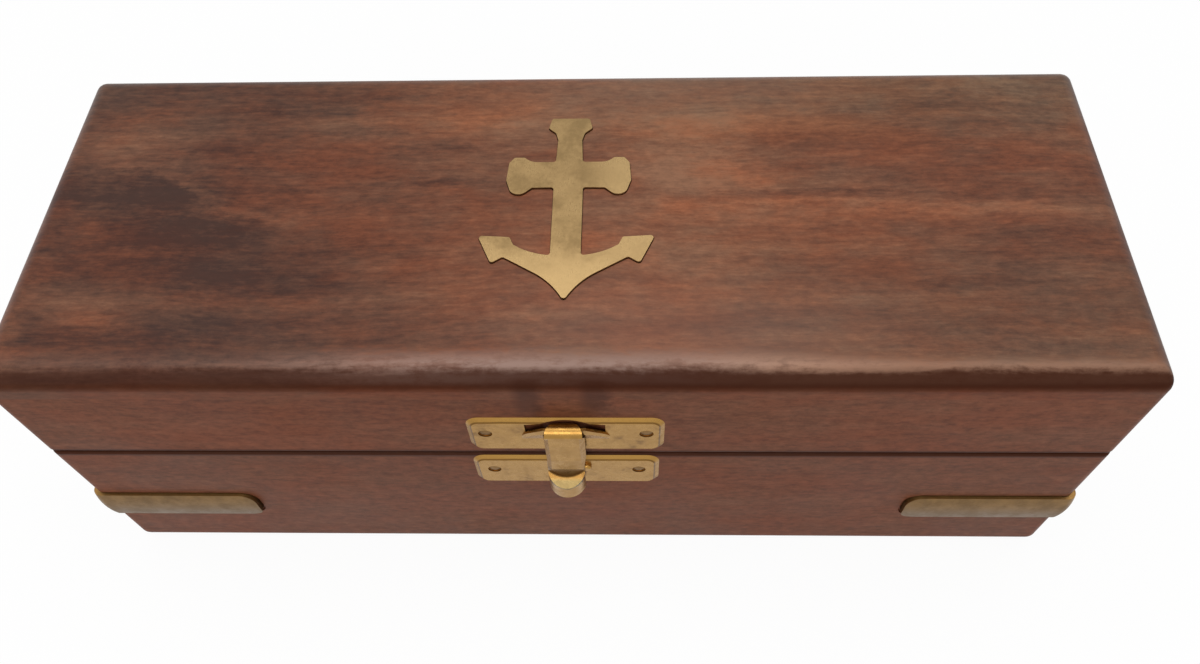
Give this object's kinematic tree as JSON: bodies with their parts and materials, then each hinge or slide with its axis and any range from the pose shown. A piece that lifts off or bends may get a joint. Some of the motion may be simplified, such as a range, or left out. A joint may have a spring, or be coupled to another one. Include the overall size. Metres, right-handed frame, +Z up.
{
  "type": "telescope box",
  "caption": "Hinged hardwood box that cradles a small telescope, with a brass snap hasp, brass corner straps and a brass anchor let into the lid.",
  "frame": {"origin": "middle of the box's underside", "axes": "+X to the right along the box's length, +Y from the hasp to the hinges, +Z up through the lid"},
  "size_m": [0.1666, 0.0648, 0.0593],
  "materials": {
    "rosewood": "satin varnish",
    "latch_brass": "polished",
    "strap_brass": "antiqued",
    "anchor_brass": "brushed, aged",
    "hinge_brass": "satin",
    "velvet": "velvet on card"
  },
  "bodies": {
    "base": {"base_front_wall": "rosewood", "base_back_wall": "rosewood", "base_left_wall": "rosewood", "base_right_wall": "rosewood", "base_floor": "rosewood", "base_lining": "velvet", "left_cradle": "rosewood", "right_cradle": "rosewood", "left_saddle_lining": "velvet", "right_saddle_lining": "velvet", "corner_strap_front_left": "strap_brass", "corner_strap_front_right": "strap_brass", "corner_strap_back_left": "strap_brass", "corner_strap_back_right": "strap_brass", "catch_plate": "latch_brass", "catch_plate_nails": "latch_brass", "left_hinge_base_leaf": "hinge_brass", "right_hinge_base_leaf": "hinge_brass", "left_hinge_base_nails": "hinge_brass", "right_hinge_base_nails": "hinge_brass", "left_hinge_pin": "hinge_brass", "right_hinge_pin": "hinge_brass"},
    "lid": {"lid_top_panel": "rosewood", "lid_front_wall": "rosewood", "lid_back_wall": "rosewood", "lid_left_wall": "rosewood", "lid_right_wall": "rosewood", "anchor_inlay": "anchor_brass", "lid_lining": "velvet", "latch_plate": "latch_brass", "latch_plate_nails": "latch_brass", "left_hinge_lid_leaf": "hinge_brass", "right_hinge_lid_leaf": "hinge_brass", "left_hinge_lid_nails": "hinge_brass", "right_hinge_lid_nails": "hinge_brass"},
    "latch_tongue": {"latch_tongue": "latch_brass"}
  },
  "joints": [
    {"name": "lid_hinge", "type": "hinge", "parent": "base", "child": "lid", "pos_m": [0, 0.0274, 0.0364], "axis": [-1, 0, 0], "range_deg": [0, 100]},
    {"name": "tongue_hinge", "type": "hinge", "parent": "lid", "child": "latch_tongue", "pos_m": [-0.00045, -0.03135, 0.0465], "axis": [-1, 0, 0], "range_deg": [0, 150]}
  ]
}
